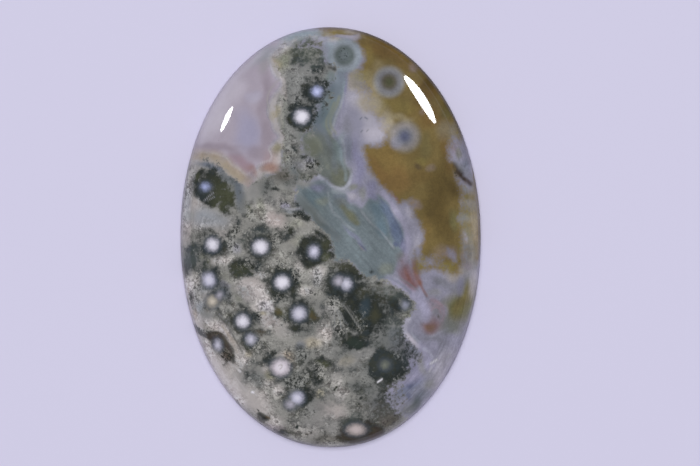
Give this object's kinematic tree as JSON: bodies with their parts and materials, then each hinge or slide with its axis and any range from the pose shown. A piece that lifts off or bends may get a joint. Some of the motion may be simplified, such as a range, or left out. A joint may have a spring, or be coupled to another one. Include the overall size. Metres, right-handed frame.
{
  "type": "ocean jasper cabochon",
  "caption": "Oval polished stone cabochon with a smooth dome, narrow girdle, bevelled edge and flat back, for setting in a bezel or resting on its back.",
  "frame": {"origin": "middle of the flat back", "axes": "+Y along the oval's long axis, +X across it, +Z out of the dome's crown"},
  "size_m": [0.025, 0.035, 0.0058],
  "materials": {
    "ocean_jasper": "polished"
  },
  "bodies": {
    "root": {"cabochon": "ocean_jasper"}
  },
  "joints": []
}
